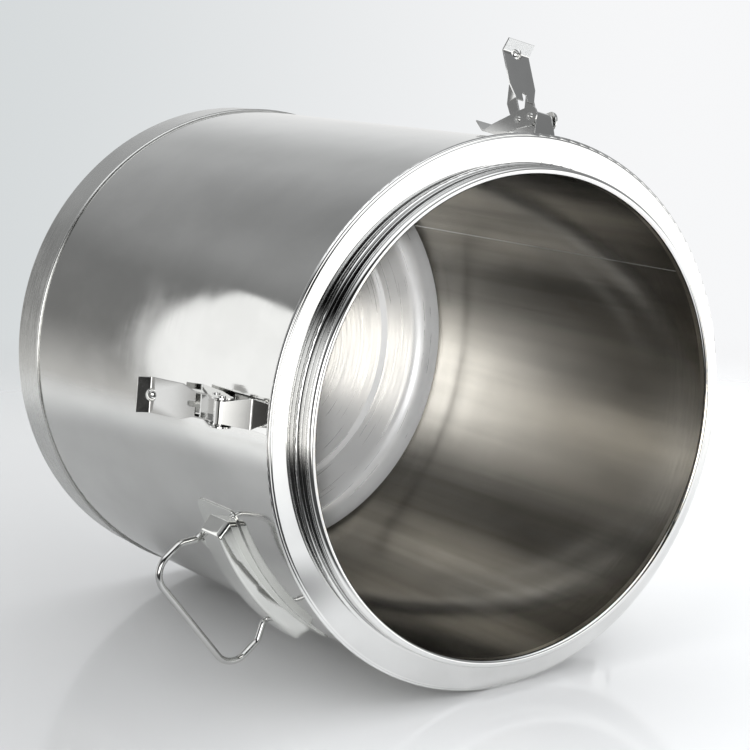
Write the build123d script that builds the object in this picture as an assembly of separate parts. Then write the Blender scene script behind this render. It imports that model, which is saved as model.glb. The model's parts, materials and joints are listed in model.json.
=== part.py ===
from build123d import *
import math
import os

os.makedirs("parts", exist_ok=True)

# ---------------------------------------------------------------- driving dimensions (mm)
# Origin: centre of the underside. +Z runs from the base to the mouth.
SHEET = 1.0                  # thickness of the body sheets
SHELL_R = 220.5              # outside radius of the outer shell
SHELL_LOW = 6.0              # lower edge of the outer shell, inside the base band
SHELL_TOP = 444.0            # upper edge of the outer shell, under the mouth ring

BAND_SHEET = 0.9
BAND_HEIGHT = 41.0           # base band up to its bead
BAND_BEAD_R = 1.9
FOOT_INNER_R = 214.0         # inner edge of the rolled foot

PLATE_Z = 14.0               # underside of the recessed base plate
PLATE_RIB_R = (95.0, 165.0)  # pressed rings in the base plate
PLATE_RIB_HEIGHT = 2.5

MOUTH_R = 195.5              # inside radius of the liner and the mouth
LINER_JOINT_Z = 84.0         # weld between the liner wall and its bottom pan
LINER_FLOOR_Z = 62.0         # inside face of the liner floor
LINER_KNUCKLE_R = 21.0
FLOOR_STEP_R = (143.0, 149.0)
FLOOR_STEP = 2.5             # the middle of the floor is pressed down by this much

RIM_R = 226.6                # outermost radius of the mouth ring
SEAM_BEAD_R = 1.8
SEAM_BEAD_Z = 446.6
SEAT_Z = 449.2               # flat seat for a lid
SEAT_CORNER = 1.2            # rounding from the seat down to the seam bead
NECK_R = 201.2               # middle of the neck's sheet
NECK_TOP = 461.9
NECK_FILLET = 3.0
NECK_BEADS_Z = (455.2, 460.9)
NECK_BEAD_R = 0.55
LIP_R = 3.2                  # rolled lip, outside radius of the roll
LIP_Z = 464.6                # height of the roll's centre

FOAM_GAP = 0.3               # free space round the foam

LATCH_ANGLES = {"left": 180.4, "top": 81.0, "far": -49.0}
LATCH_HOOK_REST = {"left": 163.0, "top": 124.4, "far": 163.0}   # degrees back from the mouth
LATCH_SHEET = 1.2
LEVER_PIVOT_R = 240.5        # distance of the lever rivet from the can's axis
LEVER_PIVOT_Z = 402.0
HOOK_PIVOT_BACK = 14.5       # the hook rivet sits this far towards the base from the lever rivet
HOOK_PIVOT_DROP = 3.6        # and this much nearer the shell
KNUCKLE_R = 5.5              # rolled end of the latch base, round the lever rivet
KNUCKLE_HALF_WIDTH = 8.6
BASE_HALF_WIDTH = 11.75      # at the foot
BASE_FRONT = 13.0            # the front wall leaves the shell this far ahead of the lever rivet
BASE_FOOT = 35.7             # end of the foot ahead of the lever rivet
BASE_SINK = 0.3              # the foot is ground to the shell's curve by this much
WING_INNER = 8.9             # hook's wings, measured from the latch's middle
LEVER_WALL_INNER = 10.3
LEVER_END_R = 8.5
LEVER_WALL = (               # lever's side: height over the lever rivet, distance to the base
    (8.2, 2.2), (3.5, 15.5), (-10.0, 47.0), (-16.3, 57.4), (-14.6, 24.0), (-8.4, 1.0),
)
LEVER_WEB = ((-14.0, 24.0), (-15.7, 57.4), (-8.0, 68.5))   # middle of the web and finger lift
HOOK_OFFSET = -1.5           # strap's mid-sheet distance from the hook rivet
HOOK_START = 19.5
HOOK_FLARE = (22.0, 34.0)    # the strap widens between these distances
HOOK_HALF_WIDTH = 14.0
HOOK_BEND = 67.0
HOOK_LIP = 11.5
HOOK_LIP_ANGLE = 60.0
HOOK_SLOT = (4.4, 8.0)        # width, depth
HOOK_EAR_R = 4.75
WING_EDGE = ((4.5, 2.0), (8.7, 10.9), (9.6, 21.0), (3.0, 36.0))   # depth, distance from the rivet
DIMPLE_R = 6.2
RIVET_R = 1.5
RUNNING_GAP = 0.05
RIVET_HEAD = (2.9, 0.9)      # radius, height
RIVET_DISH = (1.2, 0.8)      # hollow in the rivet's head: radius, depth

HANDLE_ANGLES = {"left": -136.9, "right": 43.1}
BAIL_REST = {"left": 0.0, "right": 90.0}    # degrees folded down from standing straight out
HANDLE_SHEET = 1.2
HANDLE_Z = 342.0             # middle of the mounting plate
HANDLE_PLATE = (151.0, 60.0)                # width, height
HANDLE_CORNER = 9.0
HOOD_Z = 343.0               # middle of the pressed hood
HOOD_FOOT = (130.0, 33.0)    # on the shell
HOOD_FACE = (124.0, 31.0)    # at its outer face
HOOD_RISE = 14.0
HOOD_CORNER = 4.5
HOOD_EDGE = 2.6              # rounding of the hood's outer edge
BAIL_WIRE_R = 2.9
BAIL_PIVOT_X = 224.4         # distance of the bail's axis from the can's axis
BAIL_PIVOT_Z = 319.2
BAIL_HALF_SPAN = 51.0        # at the pivots
BAIL_HALF_WIDTH = 59.1       # at the grip
BAIL_KINK = (6.5, 19.5)      # the legs spread between these distances from the axis
BAIL_PIN_END = 36.5          # the pins point inwards and end here
BAIL_REACH = 53.0
BAIL_CORNER = 18.0
BAIL_BENDS = (3.6, 3.0, 9.0)  # bend radii at the pin and at both ends of the kink
SADDLE_SPAN = (38.5, 47.0)
SADDLE_WALL = 1.4

AXIS_Z = Axis.Z


def save(shape, node):
    shape.label = node
    export_step(shape, f"parts/{node}.step")


def revolved(outline):
    """A solid of revolution about Z from a closed outline of (radius, height) in the XZ plane."""
    return revolve(Plane.XZ * make_face(outline), axis=AXIS_Z)


def tube(inner, outer, low, high):
    return Pos(0, 0, (low + high) / 2) * (
        Cylinder(outer, high - low) - Cylinder(inner, high - low)
    )


def ring_bead(radius, z, bead):
    return Pos(0, 0, z) * Torus(radius, bead)


def sheet_profile(points, radii, thickness):
    """Cross-section of a folded sheet along its middle line."""
    middle = FilletPolyline(*points, radius=radii) if radii else Polyline(*points)
    return trace(middle, thickness)


# ---------------------------------------------------------------- body
def outer_shell():
    return tube(SHELL_R - SHEET, SHELL_R, SHELL_LOW, SHELL_TOP)


def base_band():
    inner = SHELL_R
    outer = inner + BAND_SHEET
    foot = 3.0
    outline = [
        Line((FOOT_INNER_R, 0), (outer - foot, 0)),
        RadiusArc((outer - foot, 0), (outer, foot), -foot),
        Line((outer, foot), (outer, BAND_HEIGHT)),
        Line((outer, BAND_HEIGHT), (inner, BAND_HEIGHT)),
        Line((inner, BAND_HEIGHT), (inner, 4.2)),
        Line((inner, 4.2), (inner - 2.0, BAND_SHEET + 1.2)),
        Line((inner - 2.0, BAND_SHEET + 1.2), (FOOT_INNER_R, BAND_SHEET + 1.2)),
        Line((FOOT_INNER_R, BAND_SHEET + 1.2), (FOOT_INNER_R, 0)),
    ]
    band = revolved(outline)
    bead = ring_bead(SHELL_R, BAND_HEIGHT, BAND_BEAD_R)
    bead -= Pos(0, 0, BAND_HEIGHT) * Cylinder(SHELL_R, 4 * BAND_BEAD_R)
    return band + bead


def base_plate():
    outer = SHELL_R - SHEET
    skirt = 8.0
    points = [(outer - SHEET / 2, PLATE_Z - skirt), (outer - SHEET / 2, PLATE_Z + 0.5)]
    for rib in reversed(PLATE_RIB_R):
        points += [
            (rib + 7.0, PLATE_Z + 0.5),
            (rib + 3.5, PLATE_Z + 0.5 + PLATE_RIB_HEIGHT),
            (rib - 3.5, PLATE_Z + 0.5 + PLATE_RIB_HEIGHT),
            (rib - 7.0, PLATE_Z + 0.5),
        ]
    points.append((0.0, PLATE_Z + 0.5))
    radii = [4.0] + [1.5] * (len(points) - 3)
    return revolve(Plane.XZ * sheet_profile(points, radii, SHEET), axis=AXIS_Z)


def liner_wall():
    """The inner tube, with its top edge rolled outwards into the lip."""
    wall = tube(MOUTH_R, MOUTH_R + SHEET, LINER_JOINT_Z, LIP_Z)
    centre = MOUTH_R + LIP_R
    roll = Pos(0, 0, LIP_Z) * (Torus(centre, LIP_R) - Torus(centre, LIP_R - SHEET))
    below = Pos(0, 0, LIP_Z - LIP_R) * Cylinder(centre + 0.6, 2 * LIP_R)
    open_side = below - tube(MOUTH_R - 1, MOUTH_R + SHEET, LIP_Z - 3 * LIP_R, LIP_Z)
    return wall + (roll - open_side)


def liner_bottom():
    mid_r = MOUTH_R + SHEET / 2
    floor = LINER_FLOOR_Z - SHEET / 2
    points = [
        (mid_r, LINER_JOINT_Z),
        (mid_r, floor),
        (FLOOR_STEP_R[1], floor),
        (FLOOR_STEP_R[0], floor - FLOOR_STEP),
        (0.0, floor - FLOOR_STEP),
    ]
    radii = [LINER_KNUCKLE_R, 3.0, 3.0]
    return revolve(Plane.XZ * sheet_profile(points, radii, SHEET), axis=AXIS_Z)


def mouth_ring():
    """Seam bead, seat, fillet and neck, as one pressed ring."""
    half = SHEET / 2
    seat = SEAT_Z - half
    bead_r = RIM_R - SEAM_BEAD_R
    points = [
        (bead_r - 0.6, SEAM_BEAD_Z),
        (bead_r - 0.6, seat),
        (NECK_R, seat),
        (NECK_R, NECK_TOP),
    ]
    radii = [SEAT_CORNER, NECK_FILLET]
    ring = revolve(Plane.XZ * sheet_profile(points, radii, SHEET), axis=AXIS_Z)
    ring += ring_bead(bead_r, SEAM_BEAD_Z, SEAM_BEAD_R)
    ring += tube(SHELL_R - 3.0, bead_r, SHELL_TOP, SEAM_BEAD_Z)
    for z in NECK_BEADS_Z:
        ring += ring_bead(NECK_R + half, z, NECK_BEAD_R)
    return ring


def foam_sleeve():
    inner = MOUTH_R + SHEET + FOAM_GAP
    outer = SHELL_R - SHEET - FOAM_GAP
    return tube(inner, outer, LINER_JOINT_Z, SHELL_TOP - 2.0)


def foam_disc():
    outer = SHELL_R - SHEET - FOAM_GAP
    low = PLATE_Z + SHEET + PLATE_RIB_HEIGHT + 1.0
    disc = Pos(0, 0, (low + LINER_JOINT_Z) / 2) * Cylinder(outer, LINER_JOINT_Z - low)
    hollow_r = MOUTH_R + SHEET + FOAM_GAP
    knuckle = LINER_KNUCKLE_R + SHEET + FOAM_GAP
    floor = LINER_FLOOR_Z - SHEET - FLOOR_STEP - FOAM_GAP
    hollow = Pos(0, 0, (floor + LINER_JOINT_Z) / 2 + 1) * Cylinder(
        hollow_r, LINER_JOINT_Z - floor + 2
    )
    hollow = fillet(hollow.edges().group_by(Axis.Z)[0], knuckle - 4.0)
    return disc - hollow


# ---------------------------------------------------------------- latch, built at angle 0
def side_plate(outline, inner, outer):
    """A plate in the plane of the latch, on both sides, between two distances from its middle."""
    face = Plane.XZ * outline
    plate = Pos(0, outer, 0) * extrude(face, amount=outer - inner)
    return plate + mirror(plate, about=Plane.XZ)


def at_lever_pivot(outline):
    """Outline drawn from the lever rivet: x outwards, y towards the mouth."""
    return Pos(LEVER_PIVOT_R, LEVER_PIVOT_Z) * outline


def cross_pin(radius, half_length):
    return Rot(90, 0, 0) * Cylinder(radius, 2 * half_length)


def lever_pivot():
    return Pos(LEVER_PIVOT_R, 0, LEVER_PIVOT_Z)


def hook_pivot():
    return Pos(LEVER_PIVOT_R - HOOK_PIVOT_DROP, 0, LEVER_PIVOT_Z - HOOK_PIVOT_BACK)


def folded_strip(points, radii, half_width):
    profile = at_lever_pivot(sheet_profile(points, radii, LATCH_SHEET))
    return Pos(0, half_width, 0) * extrude(Plane.XZ * profile, amount=2 * half_width)


def latch_base():
    """Foot on the shell, slanting front wall and a knuckle rolled round the lever rivet."""
    roll = KNUCKLE_R - LATCH_SHEET / 2
    foot = SHELL_R - LEVER_PIVOT_R + LATCH_SHEET / 2 - BASE_SINK
    heel = Vector(foot, BASE_FRONT)
    touch = math.atan2(heel.Y, heel.X) - math.acos(roll / heel.length)
    meeting = (roll * math.cos(touch), roll * math.sin(touch))
    strip = folded_strip(
        [(foot, BASE_FOOT), (foot, BASE_FRONT), meeting], [2.0], BASE_HALF_WIDTH
    )
    wide = BASE_HALF_WIDTH
    narrow = KNUCKLE_HALF_WIDTH
    right = [(wide, BASE_FOOT + 5), (wide, BASE_FRONT), (narrow, KNUCKLE_R - 0.5), (narrow, -5)]
    left = [(-y, z) for y, z in reversed(right)]
    outline = Pos(0, 0, LEVER_PIVOT_Z) * extrude(
        Plane.YZ * make_face(Polyline(*right, *left, close=True)), amount=400
    )
    shaft = lever_pivot() * cross_pin(KNUCKLE_R, narrow)
    bore = lever_pivot() * cross_pin(KNUCKLE_R - LATCH_SHEET, 20)
    shell = Pos(0, 0, LEVER_PIVOT_Z) * Cylinder(SHELL_R, 120)
    return (strip & outline) + shaft - bore - shell


def knuckle_bush():
    """Bush that fills the knuckle and carries the lever rivet."""
    return cross_pin(KNUCKLE_R - LATCH_SHEET, KNUCKLE_HALF_WIDTH) - cross_pin(RIVET_R, 20)


def latch_lever():
    wall = make_face(Polyline(*[(x, -back) for x, back in LEVER_WALL], close=True))
    wall += Circle(LEVER_END_R)
    walls = side_plate(at_lever_pivot(wall), LEVER_WALL_INNER, LEVER_WALL_INNER + LATCH_SHEET)
    web = folded_strip(
        [(x, -back) for x, back in LEVER_WEB], [3.0], LEVER_WALL_INNER + LATCH_SHEET
    )
    lever = walls + web
    lever -= lever_pivot() * cross_pin(RIVET_R + RUNNING_GAP, 20)
    lever -= hook_pivot() * cross_pin(RIVET_R, 20)
    return lever


def hook_strap():
    """Strap and lip, cut to the outline seen from outside, with the slot at its root."""
    lip = math.radians(HOOK_LIP_ANGLE)
    end = (
        HOOK_OFFSET - HOOK_LIP * math.sin(lip),
        HOOK_BEND + HOOK_LIP * math.cos(lip),
    )
    profile = sheet_profile(
        [(HOOK_OFFSET, HOOK_START), (HOOK_OFFSET, HOOK_BEND), end], [2.2], LATCH_SHEET
    )
    strip = Pos(0, 20, 0) * extrude(Plane.XZ * profile, amount=40)
    neck = WING_INNER + LATCH_SHEET
    right = [
        (neck, HOOK_START),
        (neck, HOOK_FLARE[0]),
        (HOOK_HALF_WIDTH, HOOK_FLARE[1]),
        (HOOK_HALF_WIDTH, HOOK_BEND + 20),
    ]
    left = [(-y, z) for y, z in reversed(right)]
    outline = extrude(
        Plane.YZ * make_face(Polyline(*right, *left, close=True)), amount=30, both=True
    )
    width, depth = HOOK_SLOT
    slot = Pos(HOOK_OFFSET, 0, HOOK_START) * Box(4, width, 2 * depth - width)
    slot_end = Pos(HOOK_OFFSET, 0, HOOK_START + depth - width / 2) * Rot(0, 90, 0)
    return (strip & outline) - slot - slot_end * Cylinder(width / 2, 4)


def latch_hook():
    """The hook pointing to the mouth, drawn from its rivet: x outwards, z towards the mouth."""
    outer = HOOK_OFFSET - LATCH_SHEET / 2
    tip = (outer, WING_EDGE[-1][1])
    wing = make_face(Polyline((outer, 0.0), tip, *reversed(WING_EDGE), close=True))
    wing += Circle(HOOK_EAR_R)
    wings = side_plate(wing, WING_INNER, WING_INNER + LATCH_SHEET)
    bend = Pos(HOOK_OFFSET, 0, HOOK_BEND - 1.0)
    outside = Pos(HOOK_OFFSET + 10, 0, HOOK_BEND) * Box(20, 30, 40)
    dome = bend * Sphere(DIMPLE_R) & outside
    hollow = bend * Sphere(DIMPLE_R - 1.0)
    hook = (hook_strap() + wings + dome) - hollow
    return hook - cross_pin(RIVET_R + RUNNING_GAP, 20)


def rivet():
    """A cross pin with a dished head at each end, outside the lever's walls."""
    outside = LEVER_WALL_INNER + LATCH_SHEET
    radius, height = RIVET_HEAD
    pin = cross_pin(RIVET_R, outside + height)
    for side in (1, -1):
        head_start = outside + RUNNING_GAP
        head = Pos(0, side * (head_start + (height - RUNNING_GAP) / 2), 0) * (
            Rot(90, 0, 0) * Cylinder(radius, height - RUNNING_GAP)
        )
        pin += head
        dish = Pos(0, side * (outside + height - RIVET_DISH[1] / 2), 0) * (
            Rot(90, 0, 0) * Cylinder(RIVET_DISH[0], RIVET_DISH[1])
        )
        pin -= dish
    return pin


# ---------------------------------------------------------------- handle, built at angle 0
def facing_plane(distance, z):
    """Plane square to the handle's middle: x across the can, y towards the mouth."""
    return Plane(origin=(distance, 0, z), x_dir=(0, 1, 0), z_dir=(1, 0, 0))


def hood_block(inset):
    """Drafted block of the hood, its outer face following the shell."""
    near = SHELL_R - 12.0
    far = SHELL_R + 18.0
    end_x = math.sqrt(SHELL_R ** 2 - (HOOD_FOOT[0] / 2) ** 2)
    sections = []
    for distance in (near, far):
        share = (distance - end_x) / HOOD_RISE
        size = [foot + (face - foot) * share for foot, face in zip(HOOD_FOOT, HOOD_FACE)]
        sections.append(facing_plane(distance, HOOD_Z) * RectangleRounded(
            size[0] - 2 * inset, size[1] - 2 * inset, HOOD_CORNER - inset
        ))
    radius = SHELL_R + HOOD_RISE - inset
    return loft(sections) & Pos(0, 0, HOOD_Z) * Cylinder(radius, 100)


def handle_plate():
    """Curved mounting plate with a hollow hood pressed out of it."""
    outline = RectangleRounded(*HANDLE_PLATE, HANDLE_CORNER)
    blank = extrude(facing_plane(SHELL_R - 30, HANDLE_Z) * outline, amount=60)
    blank &= Pos(0, 0, HANDLE_Z) * Cylinder(SHELL_R + HANDLE_SHEET, 100)
    hood = hood_block(0.0)
    rim = hood.edges().filter_by(lambda edge: edge.center().X > SHELL_R + 2.0)
    hood = fillet(rim, HOOD_EDGE)
    shell = Pos(0, 0, HANDLE_Z) * Cylinder(SHELL_R, 200)
    return (blank + hood) - hood_block(HANDLE_SHEET) - shell


def bail():
    """Wire bail standing straight out."""
    x = BAIL_PIVOT_X
    half = BAIL_HALF_SPAN
    wide = BAIL_HALF_WIDTH
    right = [
        (x, BAIL_PIN_END),
        (x, half),
        (x + BAIL_KINK[0], half),
        (x + BAIL_KINK[1], wide),
        (x + BAIL_REACH, wide),
    ]
    left = [(px, -py) for px, py in reversed(right)]
    radii = [*BAIL_BENDS, BAIL_CORNER]
    path = Pos(0, 0, BAIL_PIVOT_Z) * FilletPolyline(
        *right, *left, radius=radii + radii[::-1]
    )
    section = Plane(origin=path @ 0, z_dir=path % 0) * Circle(BAIL_WIRE_R)
    return sweep(section, path=path)


def pivot_saddles():
    """Two clips that hold the bail's pins against the mounting plate."""
    low, high = SADDLE_SPAN
    hole_r = BAIL_WIRE_R + RUNNING_GAP
    loop_r = hole_r + SADDLE_WALL
    width = high - low
    loop = cross_pin(loop_r, width / 2)
    leg = Pos(-loop_r, 0, 0) * Box(2 * loop_r, width, 2 * loop_r)
    clip = loop + leg - cross_pin(hole_r, width)
    plate = Pos(0, 0, HANDLE_Z) * Cylinder(SHELL_R + HANDLE_SHEET, 200)
    centre = (low + high) / 2
    return [
        Pos(BAIL_PIVOT_X, side * centre, BAIL_PIVOT_Z) * clip - plate for side in (1, -1)
    ]


# ---------------------------------------------------------------- assembly
save(outer_shell(), "outer_shell")
save(base_band(), "base_band")
save(base_plate(), "base_plate")
save(liner_wall(), "liner_wall")
save(liner_bottom(), "liner_bottom")
save(mouth_ring(), "mouth_ring")
save(foam_sleeve(), "foam_sleeve")
save(foam_disc(), "foam_disc")

base, lever, hook, pin, bush = latch_base(), latch_lever(), latch_hook(), rivet(), knuckle_bush()
for name, angle in LATCH_ANGLES.items():
    place = Rot(0, 0, angle)
    save(place * base, f"latch_base_{name}")
    save(place * lever_pivot() * bush, f"knuckle_bush_{name}")
    save(place * lever, f"latch_lever_{name}")
    save(place * lever_pivot() * pin, f"lever_rivet_{name}")
    save(place * hook_pivot() * pin, f"hook_rivet_{name}")
    turned = Rot(0, LATCH_HOOK_REST[name], 0) * hook
    save(place * hook_pivot() * turned, f"latch_hook_{name}")

plate, wire, saddles = handle_plate(), bail(), pivot_saddles()
for name, angle in HANDLE_ANGLES.items():
    place = Rot(0, 0, angle)
    save(place * plate, f"handle_plate_{name}")
    axis = Pos(BAIL_PIVOT_X, 0, BAIL_PIVOT_Z)
    folded = axis * Rot(0, BAIL_REST[name], 0) * axis.inverse() * wire
    save(place * folded, f"handle_bail_{name}")
    save(Compound(children=[place * clip for clip in saddles]), f"pivot_saddles_{name}")
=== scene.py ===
import itertools
import json
import math

import bpy
from mathutils import Matrix, Vector


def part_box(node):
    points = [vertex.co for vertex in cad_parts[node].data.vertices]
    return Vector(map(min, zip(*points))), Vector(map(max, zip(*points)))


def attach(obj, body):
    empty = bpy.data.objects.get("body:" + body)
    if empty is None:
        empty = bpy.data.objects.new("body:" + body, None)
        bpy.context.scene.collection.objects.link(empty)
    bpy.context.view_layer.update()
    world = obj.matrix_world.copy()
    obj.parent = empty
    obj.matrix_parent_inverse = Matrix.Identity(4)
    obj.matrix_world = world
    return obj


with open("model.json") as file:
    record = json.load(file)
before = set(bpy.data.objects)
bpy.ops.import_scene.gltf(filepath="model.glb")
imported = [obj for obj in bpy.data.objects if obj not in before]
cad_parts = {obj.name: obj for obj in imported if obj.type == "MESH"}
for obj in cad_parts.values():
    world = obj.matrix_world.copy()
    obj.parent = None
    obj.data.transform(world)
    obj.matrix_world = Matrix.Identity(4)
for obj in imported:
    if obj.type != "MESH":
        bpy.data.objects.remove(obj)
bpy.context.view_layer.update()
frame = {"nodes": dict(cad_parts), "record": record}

# ---------------------------------------------------------------- the photograph's view
# The can lies on its side there: its mouth ring rests on the floor.
CAMERA_PLACE = Vector((-1.02722, 0.24019, 1.71154))
CAMERA_RIGHT = Vector((0.82042, 0.09211, 0.56430))
CAMERA_UP = Vector((0.0, 0.98694, -0.16110))
CAMERA_BACK = Vector((-0.57177, 0.13217, 0.80970))
LENS = 98.4                         # mm, on a sensor 36 mm wide
LYING_UP = Vector((-0.1115, 0.9938, 0.0)).normalized()

RING_LOW, RING_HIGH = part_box("mouth_ring")
RING_R = RING_HIGH.x
SHELL_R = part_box("outer_shell")[1].x
NECK_WALL_R = 0.2017                # m, outside of the neck between its beads
LIP_LOW = 0.4595                    # m, where the liner's wall turns into its rolled lip
LINER_R = 0.1955
LIP_ROLL_R = 0.0032                 # m, outside radius of the rolled lip's section
LIP_MIDDLE_R = LINER_R + LIP_ROLL_R
LIP_MIDDLE_Z = 0.4646               # m, height of the roll's middle
LINER_LOW = 0.084                   # m, upper edge of the liner's bottom pan
LINER_SEAM_ANGLE = math.radians(39.0)
HANDLE_ANGLES = {"left": -136.9, "right": 43.1}    # degrees round the can
CAN_MIDDLE = Vector((0.0, 0.0, RING_HIGH.z / 2))
SMOOTH_LIMIT = 32.0                 # degrees; edges sharper than this stay sharp


def add_camera():
    camera = bpy.data.objects.new("camera", bpy.data.cameras.new("camera"))
    camera.data.sensor_width = 36.0
    camera.data.lens = LENS
    camera.data.clip_start = 0.05
    turn = Matrix((CAMERA_RIGHT, CAMERA_UP, CAMERA_BACK)).transposed().to_4x4()
    camera.matrix_world = Matrix.Translation(CAMERA_PLACE) @ turn
    bpy.context.scene.collection.objects.link(camera)
    bpy.context.scene.camera = camera


# ---------------------------------------------------------------- node helpers
class Graph:
    """Short ways to add and join shader nodes in one tree. Values may be numbers or sockets."""

    def __init__(self, tree):
        self.tree = tree
        tree.nodes.clear()

    def node(self, kind, settings=None, **inputs):
        made = self.tree.nodes.new(kind)
        for name, value in (settings or {}).items():
            setattr(made, name, value)
        for name, value in inputs.items():
            key = int(name[1:]) if name[0] == "_" else name.replace("_", " ")
            self.feed(made.inputs[key], value)
        return made

    def feed(self, socket, value):
        if isinstance(value, bpy.types.NodeSocket):
            self.tree.links.new(value, socket)
        else:
            socket.default_value = value

    def math(self, operation, first, second):
        return self.node("ShaderNodeMath", {"operation": operation}, _0=first, _1=second).outputs[0]

    def vector(self, operation, first, second=(0.0, 0.0, 0.0)):
        made = self.node("ShaderNodeVectorMath", {"operation": operation}, _0=first, _1=second)
        return made.outputs["Value" if operation in ("DOT_PRODUCT", "LENGTH", "DISTANCE") else "Vector"]

    def ramp(self, value, low, high, start=0.0, end=1.0):
        """Smooth step from start to end as value goes from low to high."""
        made = self.node(
            "ShaderNodeMapRange", {"interpolation_type": "SMOOTHSTEP"},
            _0=value, _1=low, _2=high, _3=start, _4=end,
        )
        return made.outputs[0]

    def mix(self, share, first, second):
        made = self.node("ShaderNodeMix", {"data_type": "RGBA"}, _0=share, _6=first, _7=second)
        return made.outputs[2]

    def total(self, *values):
        result = values[0]
        for value in values[1:]:
            result = self.math("ADD", result, value)
        return result

    def product(self, *values):
        result = values[0]
        for value in values[1:]:
            result = self.math("MULTIPLY", result, value)
        return result

    def camera_place(self):
        settings = {"vector_type": "POINT", "convert_from": "CAMERA", "convert_to": "WORLD"}
        return self.node("ShaderNodeVectorTransform", settings, Vector=(0, 0, 0)).outputs[0]

    def lying(self):
        """1 for the photograph's camera, 0 for a camera anywhere else."""
        away = self.vector("DISTANCE", self.camera_place(), CAMERA_PLACE)
        return self.math("LESS_THAN", away, 0.02)

    def output(self, shader, kind="ShaderNodeOutputMaterial"):
        self.tree.links.new(shader, self.node(kind).inputs["Surface"])


def new_material(name):
    material = bpy.data.materials.new(name)
    material.use_nodes = True
    return material, Graph(material.node_tree)


# ---------------------------------------------------------------- studio
BACKDROP_LEFT = (0.66, 0.69, 0.70, 1.0)
BACKDROP_RIGHT = (0.93, 0.935, 0.945, 1.0)
BLACK = (0.0, 0.0, 0.0, 1.0)

# strengths of the studio's light
DOME_LIGHT = 1.38           # what dull surfaces, such as the floor, get from every side
ROOM_LIGHT = 0.26
LOW_RIGHT_LIGHT = 1.30
OVERHEAD_LIGHT = 1.35
GROUND_LIGHT = 0.58
REAR_LEFT_LIGHT = 0.16
BEHIND_LIGHT = 0.32         # behind the can, in a wide ring
STRAIGHT_BEHIND_LIGHT = 0.33
DARK_ROOM_SHARE = 0.96      # of the light taken away round the camera
FRONT_STRIP_LIGHT = 3.3     # a strip behind the camera, seen in the liner

FLOOR_GAP = 0.0002          # m, between the can and the floor
FLOOR_SHADE = 0.38          # painted shade: share of the floor's colour taken away at the left of the picture
LEFT_DIMMING = 0.48         # painted shade: how much dimmer reflections see the floor on the left
MOUTH_DIMMING = 0.94        # painted shade: and in front of the mouth


def add_world():
    """A soft studio that turns with the camera: bright to its right, grey behind the can."""
    world = bpy.data.worlds.new("studio")
    world.use_nodes = True
    bpy.context.scene.world = world
    g = Graph(world.node_tree)
    direction = g.node("ShaderNodeTexCoord").outputs["Generated"]
    direction = g.vector("NORMALIZE", direction)
    up = g.mix(g.lying(), (0, 0, 1, 1), (*LYING_UP, 1))
    toward = g.vector("SUBTRACT", g.camera_place(), CAN_MIDDLE)
    right = g.vector("NORMALIZE", g.vector("CROSS_PRODUCT", up, toward))
    forward = g.vector("CROSS_PRODUCT", right, up)
    side = g.vector("DOT_PRODUCT", direction, right)
    rise = g.vector("DOT_PRODUCT", direction, up)
    front = g.vector("DOT_PRODUCT", direction, forward)
    low_right = g.product(g.ramp(side, 0.45, 0.82), g.ramp(rise, 0.38, 0.10))
    overhead = g.product(g.ramp(rise, 0.58, 0.80), g.ramp(front, -0.35, 0.25))
    ground = g.ramp(rise, 0.02, -0.35)
    rear_left = g.product(
        g.ramp(side, -0.45, -0.8), g.ramp(rise, 0.24, 0.44), g.ramp(front, 0.32, 0.20)
    )
    light = g.total(
        ROOM_LIGHT,
        g.product(low_right, LOW_RIGHT_LIGHT),
        g.product(overhead, OVERHEAD_LIGHT),
        g.product(ground, GROUND_LIGHT),
        g.product(rear_left, REAR_LEFT_LIGHT),
        g.product(g.ramp(front, -0.55, -0.80), BEHIND_LIGHT),
        g.product(g.ramp(front, -0.80, -0.97), STRAIGHT_BEHIND_LIGHT),
    )
    dark_room = g.product(g.ramp(front, 0.48, 0.80), g.ramp(rise, 0.70, 0.50))
    light = g.product(light, g.math("SUBTRACT", 1.0, g.product(dark_room, DARK_ROOM_SHARE)))
    front_strip = g.product(
        g.ramp(front, 0.88, 0.95), g.ramp(rise, -0.42, -0.24), g.ramp(rise, 0.36, 0.14)
    )
    light = g.total(light, g.product(front_strip, FRONT_STRIP_LIGHT))
    dull = g.node("ShaderNodeLightPath").outputs["Is Diffuse Ray"]
    light = g.total(
        g.product(light, g.math("SUBTRACT", 1.0, dull)),
        g.product(dull, DOME_LIGHT),
    )
    warmth = g.mix(g.ramp(rise, -0.6, 0.6), (1.0, 0.985, 0.95, 1), (0.97, 0.985, 1.0, 1))
    studio = g.node("ShaderNodeBackground", Color=warmth, Strength=light)
    window = g.node("ShaderNodeTexCoord").outputs["Window"]
    across = g.node("ShaderNodeSeparateXYZ", Vector=window).outputs[0]
    plain = g.mix(g.ramp(across, -0.15, 0.95), BACKDROP_LEFT, BACKDROP_RIGHT)
    backdrop = g.node("ShaderNodeBackground", Color=plain, Strength=1.0)
    seen = g.node("ShaderNodeLightPath").outputs["Is Camera Ray"]
    shader = g.node("ShaderNodeMixShader", _0=seen, _1=studio.outputs[0], _2=backdrop.outputs[0])
    g.output(shader.outputs[0], "ShaderNodeOutputWorld")


def only_when(g, shader, condition):
    """The shader where condition is 1, nothing at all where it is 0."""
    clear = g.node("ShaderNodeBsdfTransparent")
    return g.node(
        "ShaderNodeMixShader", _0=condition, _1=clear.outputs[0], _2=shader
    ).outputs[0]


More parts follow.
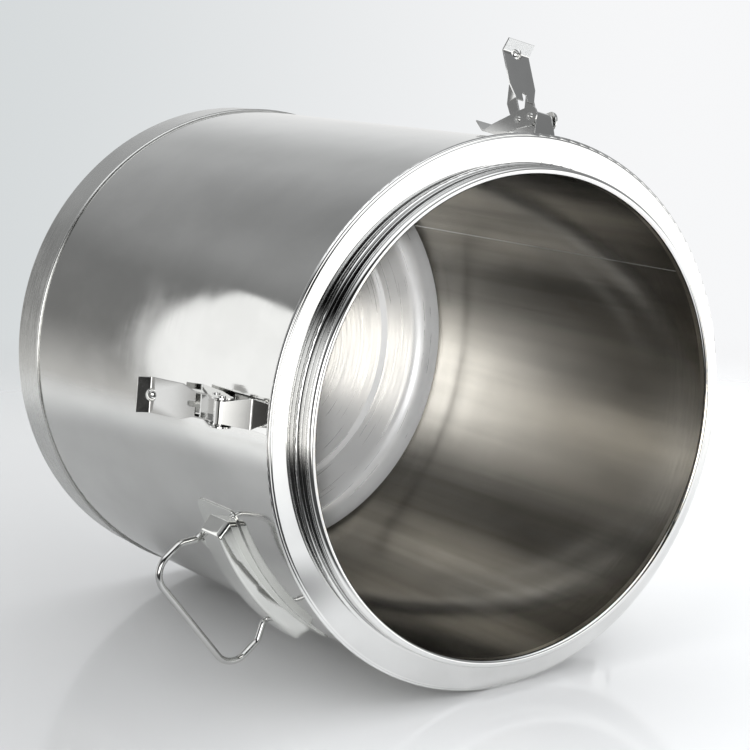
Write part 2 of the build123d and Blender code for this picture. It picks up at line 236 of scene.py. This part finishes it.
def floor_material(name, lying):
    """Pale glossy floor, with painted shade toward the left of the picture. Under the lying can,
    reflections see parts of it dimmer, as painted shade.
    """
    material, g = new_material(name)
    place = g.node("ShaderNodeNewGeometry").outputs["Position"]
    reach = g.vector("DISTANCE", place, CAN_MIDDLE)
    wanted = g.lying() if lying else g.math("SUBTRACT", 1.0, g.lying())
    near = g.ramp(reach, 1.6, 0.75)
    speckle = g.node("ShaderNodeTexNoise", Vector=place, Scale=9.0, Detail=3.0).outputs[0]
    colour = g.mix(speckle, (0.90, 0.905, 0.91, 1), (0.93, 0.93, 0.93, 1))
    window = g.node("ShaderNodeTexCoord").outputs["Window"]
    across = g.node("ShaderNodeSeparateXYZ", Vector=window).outputs[0]
    seen = g.node("ShaderNodeLightPath").outputs["Is Camera Ray"]
    # painted shade: camera rays see the floor darkened toward the left of the picture
    shade = g.product(g.ramp(across, 0.70, 0.02), seen, FLOOR_SHADE)
    colour = g.mix(shade, colour, BLACK)
    surface = g.node(
        "ShaderNodeBsdfPrincipled", Base_Color=colour, Roughness=0.11, IOR=1.42,
    )
    shader = surface.outputs[0]
    if lying:
        # painted shade: reflections see the floor under the lying can darkened, on the left and in
        # front of the mouth
        side = g.vector("DOT_PRODUCT", place, CAMERA_RIGHT)
        front = g.vector("DOT_PRODUCT", place, CAMERA_BACK)
        left = g.product(g.ramp(side, 0.10, -0.10), g.ramp(side, -0.80, -0.45), LEFT_DIMMING)
        ahead = g.product(g.ramp(front, 0.50, 0.62), g.ramp(side, 0.55, 0.40), MOUTH_DIMMING)
        dim = g.math("MAXIMUM", left, ahead)
        mirrored = g.math("SUBTRACT", 1.0, seen)
        black = g.node("ShaderNodeEmission", Strength=0.0)
        shader = g.node(
            "ShaderNodeMixShader", _0=g.product(dim, mirrored), _1=shader, _2=black.outputs[0]
        ).outputs[0]
    g.output(only_when(g, shader, g.product(wanted, near)))
    return material


def add_floor(name, centre, normal, lying):
    bpy.ops.mesh.primitive_grid_add(size=6.0, x_subdivisions=8, y_subdivisions=8)
    floor = bpy.context.object
    floor.name = name
    floor.rotation_mode = "QUATERNION"
    floor.rotation_quaternion = normal.to_track_quat("Z", "Y")
    floor.location = centre
    floor.data.materials.append(floor_material(name, lying))


def add_card(name, centre, normal, size, strength, soft):
    """A glowing card with soft edges that only reflections see, and only beside the lying can."""
    bpy.ops.mesh.primitive_plane_add(size=1.0)
    card = bpy.context.object
    card.name = name
    card.rotation_mode = "QUATERNION"
    card.rotation_quaternion = normal.to_track_quat("Z", "Y")
    card.location = centre
    card.scale = (size[0], size[1], 1.0)
    card.visible_camera = False
    card.visible_shadow = False
    material, g = new_material(name)
    place = g.node("ShaderNodeTexCoord").outputs["Object"]
    away = g.node("ShaderNodeSeparateXYZ", Vector=g.vector("ABSOLUTE", place))
    inside = g.product(
        g.ramp(away.outputs[0], 0.5, 0.5 - soft / size[0]),
        g.ramp(away.outputs[1], 0.5, 0.5 - soft / size[1]),
    )
    glow = g.node("ShaderNodeEmission", Color=(0.995, 1.0, 1.0, 1), Strength=strength)
    g.output(only_when(g, glow.outputs[0], g.product(g.lying(), inside)))
    card.data.materials.append(material)


def add_mouth_light():
    """A spot down the mouth. Polished steel doesn't mirror it; the dull pan scatters it."""
    lamp = bpy.data.lights.new("mouth_light", "SPOT")
    lamp.energy = 95.0
    lamp.spot_size = math.radians(13.0)
    lamp.spot_blend = 0.25
    lamp.shadow_soft_size = 0.05
    spot = bpy.data.objects.new("mouth_light", lamp)
    spot.location = CAMERA_PLACE
    spot.rotation_mode = "QUATERNION"
    mouth = Vector((0.0, 0.0, RING_HIGH.z))
    spot.rotation_quaternion = (mouth - CAMERA_PLACE).to_track_quat("-Z", "Y")
    spot.visible_glossy = False
    bpy.context.scene.collection.objects.link(spot)


def add_studio():
    add_world()
    add_mouth_light()
    add_floor("floor_lying", -LYING_UP * (RING_R + FLOOR_GAP), LYING_UP, True)
    add_floor("floor_upright", Vector((0, 0, -FLOOR_GAP)), Vector((0, 0, 1)), False)
    add_card(
        "softbox_left", Vector((-1.27, 0.04, -0.75)), Vector((0, 0, 1)), (1.04, 0.92),
        strength=1.38, soft=0.04,
    )
    add_card(
        "strip_left", Vector((-1.0, -0.12, -0.245)), Vector((1, 0, 0)), (0.44, 0.50),
        strength=1.05, soft=0.035,
    )


# ---------------------------------------------------------------- materials
# scales of the surface patterns
AROUND = (6.0, 40.0, 1400.0)        # lines that run round the can
TURNED = (1.5, 520.0, 0.0)          # rings round the middle of the liner's bottom
LENGTHWISE = (13.0, 10.0, 2.2)      # broad streaks from the bottom to the mouth
PRESSED = (900.0, 900.0, 900.0)     # small pressed parts: an even, fine grain


def cylinder_coordinates(g):
    """(angle round the can in radians, distance from its axis, height) as one vector."""
    place = g.node("ShaderNodeTexCoord").outputs["Object"]
    parts = g.node("ShaderNodeSeparateXYZ", Vector=place)
    angle = g.math("ARCTAN2", parts.outputs[1], parts.outputs[0])
    radius = g.vector("LENGTH", g.node(
        "ShaderNodeCombineXYZ", X=parts.outputs[0], Y=parts.outputs[1], Z=0.0
    ).outputs[0])
    return g.node("ShaderNodeCombineXYZ", X=angle, Y=radius, Z=parts.outputs[2]).outputs[0]


def stretched_noise(g, coordinates, scale, detail):
    placed = g.vector("MULTIPLY", coordinates, scale)
    return g.node("ShaderNodeTexNoise", Vector=placed, Scale=1.0, Detail=detail).outputs[0]


def steel(name, tint, roughness, lines, line_depth, sway=0.0006, smudge=0.05, round_can=True,
          dull=0.0, edge=0.0, shade=None):
    """Stainless sheet: fine rolling lines, slow sway of the surface, smudged roughness."""
    material, g = new_material(name)
    if round_can:
        coordinates = cylinder_coordinates(g)
    else:
        coordinates = g.node("ShaderNodeTexCoord").outputs["Object"]
    grain = stretched_noise(g, coordinates, lines, 5.0)
    object_place = g.node("ShaderNodeTexCoord").outputs["Object"]
    slow = stretched_noise(g, object_place, (7.0, 7.0, 7.0), 2.0)
    cloud = stretched_noise(g, object_place, (24.0, 24.0, 16.0), 4.0)
    dark = tuple(channel * 0.93 for channel in tint)
    colour = g.mix(g.ramp(cloud, 0.3, 0.7), (*dark, 1), (*tint, 1))
    # painted shade: where a shade is given, the colour is darkened toward black by it
    if shade:
        colour = g.mix(shade(g, coordinates), BLACK, colour)
    rough = g.total(
        roughness,
        g.ramp(grain, 0.3, 0.7, -0.25 * roughness, 0.25 * roughness),
        g.ramp(cloud, 0.45, 0.75, 0.0, smudge),
    )
    waves = g.node("ShaderNodeBump", Height=slow, Distance=sway, Strength=1.0)
    if edge:
        rounded = g.node("ShaderNodeBevel", {"samples": 4}, Radius=edge)
        g.feed(waves.inputs["Normal"], rounded.outputs[0])
    fine = g.node(
        "ShaderNodeBump", Height=grain, Distance=line_depth, Strength=1.0, Normal=waves.outputs[0]
    )
    seen = g.node("ShaderNodeLightPath").outputs["Is Camera Ray"]
    metallic = g.math("SUBTRACT", 1.0, g.product(seen, dull))
    surface = g.node(
        "ShaderNodeBsdfPrincipled", Base_Color=colour, Metallic=metallic, Roughness=rough,
        Normal=fine.outputs[0],
    )
    g.output(surface.outputs[0])
    return material


def neck_painted_shade(g, coordinates):
    """Painted shade: the neck's wall between the two beads is painted much darker than the beads that
    stand out from it.
    """
    radius = g.node("ShaderNodeSeparateXYZ", Vector=coordinates).outputs[1]
    return g.ramp(radius, NECK_WALL_R + 0.00012, NECK_WALL_R + 0.0004, 0.30, 1.0)


def liner_painted_shade_and_reflection(g, coordinates):
    """Painted shade and reflection on the liner: its wall is painted dark, with a broad pale band down
    one side as a painted reflection and random darker lengthwise streaks; the rolled lip keeps its full
    bright colour.
    """
    angle = g.node("ShaderNodeSeparateXYZ", Vector=coordinates).outputs[0]
    # painted reflection: a broad pale band over one range of angles round the can
    band = g.product(g.ramp(angle, 0.40, 0.0), g.ramp(angle, -0.66, -0.26))
    streaks = g.ramp(stretched_noise(g, coordinates, LENGTHWISE, 3.0), 0.35, 0.70, 0.0, 0.10)
    # painted shade: outside the band the wall keeps less than half its colour
    wall = g.math("SUBTRACT", g.total(g.product(band, 0.55), 0.45), streaks)
    height = g.node("ShaderNodeSeparateXYZ", Vector=coordinates).outputs[2]
    return g.math("MAXIMUM", wall, g.ramp(height, LIP_LOW, LIP_LOW + 0.0015))


def foam_material():
    material, g = new_material("foam")
    place = g.node("ShaderNodeTexCoord").outputs["Object"]
    cells = g.node("ShaderNodeTexVoronoi", Vector=place, Scale=700.0)
    colour = g.mix(cells.outputs[0], (0.80, 0.68, 0.40, 1), (0.90, 0.82, 0.58, 1))
    bump = g.node("ShaderNodeBump", Height=cells.outputs[0], Distance=0.0003)
    surface = g.node(
        "ShaderNodeBsdfPrincipled", Base_Color=colour, Roughness=0.85, Normal=bump.outputs[0]
    )
    g.output(surface.outputs[0])
    return material


def pressed(name, tint, roughness, sway, edge):
    """Steel of the small pressed parts, with the light caught on their rounded edges."""
    return steel(
        name, tint, roughness, PRESSED, line_depth=0.0000007, sway=sway, smudge=0.04,
        round_can=False, edge=edge,
    )


def make_materials():
    return {
        "polished_shell": steel(
            "polished_shell", (0.64, 0.64, 0.625), 0.065, AROUND, line_depth=0.000003
        ),
        "satin_band": steel(
            "satin_band", (0.62, 0.62, 0.605), 0.24, AROUND, line_depth=0.00001
        ),
        "polished_ring": steel(
            "polished_ring", (0.84, 0.84, 0.83), 0.045, AROUND, line_depth=0.0000015,
            sway=0.0002, smudge=0.02, shade=neck_painted_shade,
        ),
        "liner_steel": steel(
            "liner_steel", (0.86, 0.82, 0.745), 0.15, AROUND, line_depth=0.000004,
            sway=0.0004, smudge=0.06, shade=liner_painted_shade_and_reflection,
        ),
        "floor_steel": steel(
            "floor_steel", (0.86, 0.865, 0.87), 0.34, TURNED, line_depth=0.00002,
            sway=0.0001, smudge=0.03, dull=0.5,
        ),
        "lip_steel": steel(
            "lip_steel", (0.84, 0.84, 0.83), 0.06, AROUND, line_depth=0.000001,
            sway=0.0001, smudge=0.02,
        ),
        "weld_steel": steel(
            "weld_steel", (0.72, 0.72, 0.71), 0.16, PRESSED, line_depth=0.000004,
            sway=0.0, smudge=0.05, round_can=False,
        ),
        "latch_steel": pressed("latch_steel", (0.70, 0.70, 0.69), 0.07, sway=0.0003, edge=0.0003),
        "rivet_steel": pressed("rivet_steel", (0.74, 0.74, 0.73), 0.12, sway=0.00002, edge=0.0003),
        "handle_steel": pressed(
            "handle_steel", (0.74, 0.745, 0.72), 0.055, sway=0.0003, edge=0.0006
        ),
        "bail_wire": pressed("bail_wire", (0.60, 0.60, 0.59), 0.05, sway=0.00005, edge=0.0002),
        "foam": foam_material(),
    }


# ---------------------------------------------------------------- CAD nodes
def smooth_by_angle(thing, limit):
    """Rounds the shading, except across edges sharper than the limit.

    Two faces count as joined where they only touch, so the weld modifier can share their normals.
    """
    mesh = thing.data
    imported = mesh.attributes.get("custom_normal")
    if imported:
        mesh.attributes.remove(imported)
    corner = [tuple(round(value, 6) for value in vertex.co) for vertex in mesh.vertices]
    sides = {}
    for face in mesh.polygons:
        face.use_smooth = True
        for start, end in face.edge_keys:
            sides.setdefault(frozenset((corner[start], corner[end])), []).append(face.normal.copy())
    for edge in mesh.edges:
        start, end = edge.vertices
        normals = sides.get(frozenset((corner[start], corner[end])), [])
        joined = len(normals) == 2 and normals[0].angle(normals[1], 0.0) <= limit
        edge.use_edge_sharp = not joined
    weld = thing.modifiers.new("weld", "WELD")
    weld.merge_threshold = 0.000001


def shade_as_turned(thing, limit):
    """Gives a body of revolution the normals of its profile, the same all the way round.

    Every corner takes the mean direction of the faces that meet its circle, leaving out
    those turned from its own face by more than the limit.
    """
    mesh = thing.data
    circle = [
        (round(math.hypot(vertex.co.x, vertex.co.y), 5), round(vertex.co.z, 5))
        for vertex in mesh.vertices
    ]
    slopes = []
    sums = {}
    for face in mesh.polygons:
        face.use_smooth = True
        around = math.atan2(face.center.y, face.center.x)
        outward = face.normal.x * math.cos(around) + face.normal.y * math.sin(around)
        slope = round(math.degrees(math.atan2(face.normal.z, outward)))
        slopes.append(slope)
        for place in {circle[index] for index in face.vertices}:
            met = sums.setdefault(place, {}).setdefault(slope, [0.0, 0.0])
            met[0] += face.area * outward
            met[1] += face.area * face.normal.z
    mean = {}
    normals = []
    for face, slope in zip(mesh.polygons, slopes):
        for index in face.vertices:
            place = circle[index]
            if (place, slope) not in mean:
                near = [
                    met for other, met in sums[place].items()
                    if abs((other - slope + 180) % 360 - 180) <= limit
                ]
                mean[place, slope] = Vector((sum(m[0] for m in near), 0, sum(m[1] for m in near)))
            around = math.atan2(mesh.vertices[index].co.y, mesh.vertices[index].co.x)
            flat = mean[place, slope]
            normals.append(
                Vector((flat.x * math.cos(around), flat.x * math.sin(around), flat.z)).normalized()
            )
    mesh.normals_split_custom_set(normals)


TURNED_PARTS = (
    "outer_shell", "base_band", "base_plate", "liner_wall", "liner_bottom", "mouth_ring",
)
SPECIAL_FINISH = {"liner_bottom": "floor_steel"}    # the pan has a duller skin than the wall


def dress_nodes(materials):
    for part in frame["record"]["subparts"]:
        thing = frame["nodes"][part["node"]]
        thing.data.materials.clear()
        finish = SPECIAL_FINISH.get(part["node"], part["material_slot"])
        thing.data.materials.append(materials[finish])
        if part["node"] in TURNED_PARTS:
            shade_as_turned(thing, SMOOTH_LIMIT)
        else:
            smooth_by_angle(thing, math.radians(SMOOTH_LIMIT))


# ---------------------------------------------------------------- small visual pieces
# sizes in metres
LIP_SKIN = 0.000012                 # the skin stands this much off the rolled lip
LIP_WELD_R = 0.20125
LIP_WELD_THICKNESS = 0.00085
LIP_WELD_Z = 0.46265
SEAM_R = 0.0009
SEAM_DEPTH = 0.00055                # the seam's middle lies this deep in the liner's wall
HANDLE_SHEET = 0.0012
SPOT_WELD_R = 0.0026
SPOT_WELD_FLATNESS = 0.10
SPOT_WELD_ACROSS = 0.069            # from the plate's middle
SPOT_WELD_INSET = 0.008             # from the plate's upper and lower edges
PIECE_SMOOTH_LIMIT = 60.0           # degrees


def finish_piece(piece, name, material):
    piece.name = name
    piece.data.materials.append(material)
    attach(piece, "can")


def add_torus(name, radius, thickness, height, material):
    bpy.ops.mesh.primitive_torus_add(
        location=(0, 0, height), major_radius=radius, minor_radius=thickness,
        major_segments=512, minor_segments=48,
    )
    ring = bpy.context.object
    for face in ring.data.polygons:
        face.use_smooth = True
    finish_piece(ring, name, material)


def add_lip(materials):
    """A finely divided skin on the rolled lip, and the weld that closes the gap to the neck."""
    add_torus(
        "lip_skin", LIP_MIDDLE_R, LIP_ROLL_R + LIP_SKIN, LIP_MIDDLE_Z, materials["lip_steel"],
    )
    add_torus(
        "lip_weld", LIP_WELD_R, LIP_WELD_THICKNESS, LIP_WELD_Z, materials["weld_steel"],
    )


def add_liner_seam(materials):
    """The lengthwise weld of the liner, dressed almost flush."""
    length = LIP_LOW - LINER_LOW
    turn = Matrix.Rotation(LINER_SEAM_ANGLE, 4, "Z")
    bpy.ops.mesh.primitive_cylinder_add(vertices=24, radius=SEAM_R, depth=length)
    seam = bpy.context.object
    seam.matrix_world = (
        turn
        @ Matrix.Translation((LINER_R + SEAM_DEPTH, 0, LINER_LOW + length / 2))
    )
    smooth_by_angle(seam, math.radians(PIECE_SMOOTH_LIMIT))
    finish_piece(seam, "liner_seam", materials["weld_steel"])


def add_spot_welds(materials):
    """Four spot welds through each handle plate, one near every corner."""
    surface = SHELL_R + HANDLE_SHEET
    for handle, angle in HANDLE_ANGLES.items():
        low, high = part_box(f"handle_plate_{handle}")
        heights = (low.z + SPOT_WELD_INSET, high.z - SPOT_WELD_INSET)
        for across, height in itertools.product((-SPOT_WELD_ACROSS, SPOT_WELD_ACROSS), heights):
            turn = Matrix.Rotation(math.radians(angle) + math.asin(across / surface), 4, "Z")
            bpy.ops.mesh.primitive_uv_sphere_add(segments=24, ring_count=12, radius=SPOT_WELD_R)
            weld = bpy.context.object
            flat = Matrix.Diagonal((SPOT_WELD_FLATNESS, 1.0, 1.0, 1.0))
            weld.matrix_world = turn @ Matrix.Translation((surface, 0, height)) @ flat
            smooth_by_angle(weld, math.radians(PIECE_SMOOTH_LIMIT))
            name = f"spot_weld_{handle}_{'far' if across > 0 else 'near'}_{round(height * 1000)}"
            finish_piece(weld, name, materials["handle_steel"])


materials = make_materials()
add_camera()
bpy.context.scene.view_settings.view_transform = "Standard"
add_studio()
dress_nodes(materials)
add_lip(materials)
add_liner_seam(materials)
add_spot_welds(materials)
